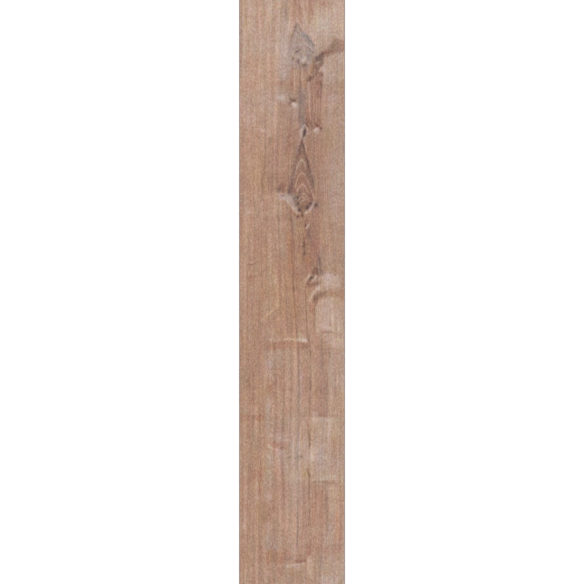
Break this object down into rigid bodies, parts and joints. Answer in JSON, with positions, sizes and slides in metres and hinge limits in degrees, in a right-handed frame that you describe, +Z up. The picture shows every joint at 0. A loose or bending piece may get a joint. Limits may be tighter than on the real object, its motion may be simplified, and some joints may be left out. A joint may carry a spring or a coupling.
{
  "type": "vinyl floor plank",
  "caption": "Thin rectangular vinyl floor plank with a wood-grain face, a bevelled rim and a flat back, laid edge to edge and glued down to cover a floor.",
  "frame": {"origin": "middle of the flat back, at floor level", "axes": "+X across the plank, +Y along it, +Z up, out of the printed face"},
  "size_m": [0.22, 1.22, 0.0025],
  "materials": {
    "printed_vinyl": "matte"
  },
  "bodies": {
    "root": {"plank": "printed_vinyl"}
  },
  "joints": []
}
